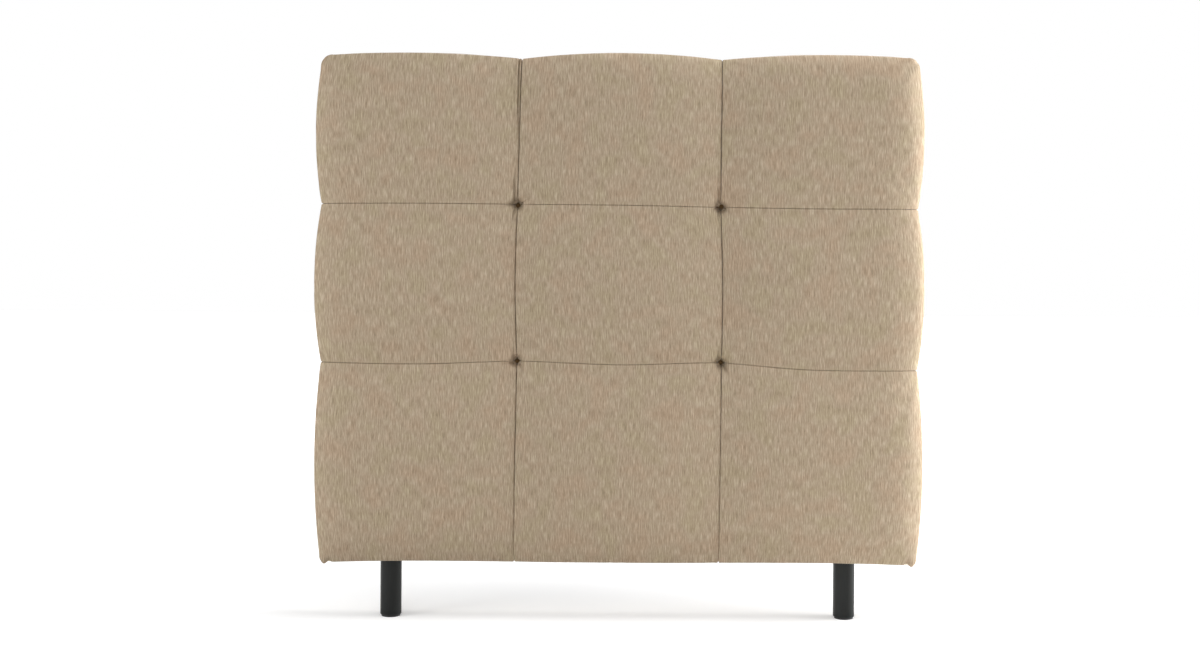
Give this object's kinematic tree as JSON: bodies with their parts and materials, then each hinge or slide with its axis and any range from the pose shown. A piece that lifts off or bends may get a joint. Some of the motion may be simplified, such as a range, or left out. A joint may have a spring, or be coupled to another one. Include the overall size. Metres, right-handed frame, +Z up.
{
  "type": "headboard",
  "caption": "Freestanding upholstered headboard with a sewn and tufted grid of padded squares, on two round legs.",
  "frame": {"origin": "on the floor, under the middle of the whole headboard", "axes": "+X to the right as seen from the front, +Y to the back (the wall), +Z up; the padded front faces -Y"},
  "size_m": [1.2, 0.1102, 1.116],
  "materials": {
    "cover_fabric": "taupe melange weave",
    "foam": "cut polyurethane foam",
    "plywood": "sanded",
    "pine": "planed",
    "non_woven": "black spun-bonded sheet",
    "zinc_steel": "bright zinc",
    "lacquered_beech": "black satin lacquer",
    "glide_plastic": "moulded",
    "twine": "waxed upholstery twine",
    "toggle_plastic": "moulded"
  },
  "bodies": {
    "root": {"cover_bottom_left": "cover_fabric", "cover_bottom_middle": "cover_fabric", "cover_bottom_right": "cover_fabric", "cover_middle_left": "cover_fabric", "cover_middle_middle": "cover_fabric", "cover_middle_right": "cover_fabric", "cover_top_left": "cover_fabric", "cover_top_middle": "cover_fabric", "cover_top_right": "cover_fabric", "foam_bottom_left": "foam", "foam_bottom_middle": "foam", "foam_bottom_right": "foam", "foam_middle_left": "foam", "foam_middle_middle": "foam", "foam_middle_right": "foam", "foam_top_left": "foam", "foam_top_middle": "foam", "foam_top_right": "foam", "front_board": "plywood", "left_stile": "pine", "right_stile": "pine", "bottom_rail": "pine", "bracket_rail": "pine", "middle_rail": "pine", "top_rail": "pine", "dust_cover": "non_woven", "bracket_inserts": "zinc_steel", "leg_inserts": "zinc_steel", "leg_left": "lacquered_beech", "leg_right": "lacquered_beech", "leg_glides": "glide_plastic", "leg_bolts": "zinc_steel", "tuft_twines": "twine", "tuft_toggles": "toggle_plastic"}
  },
  "joints": []
}
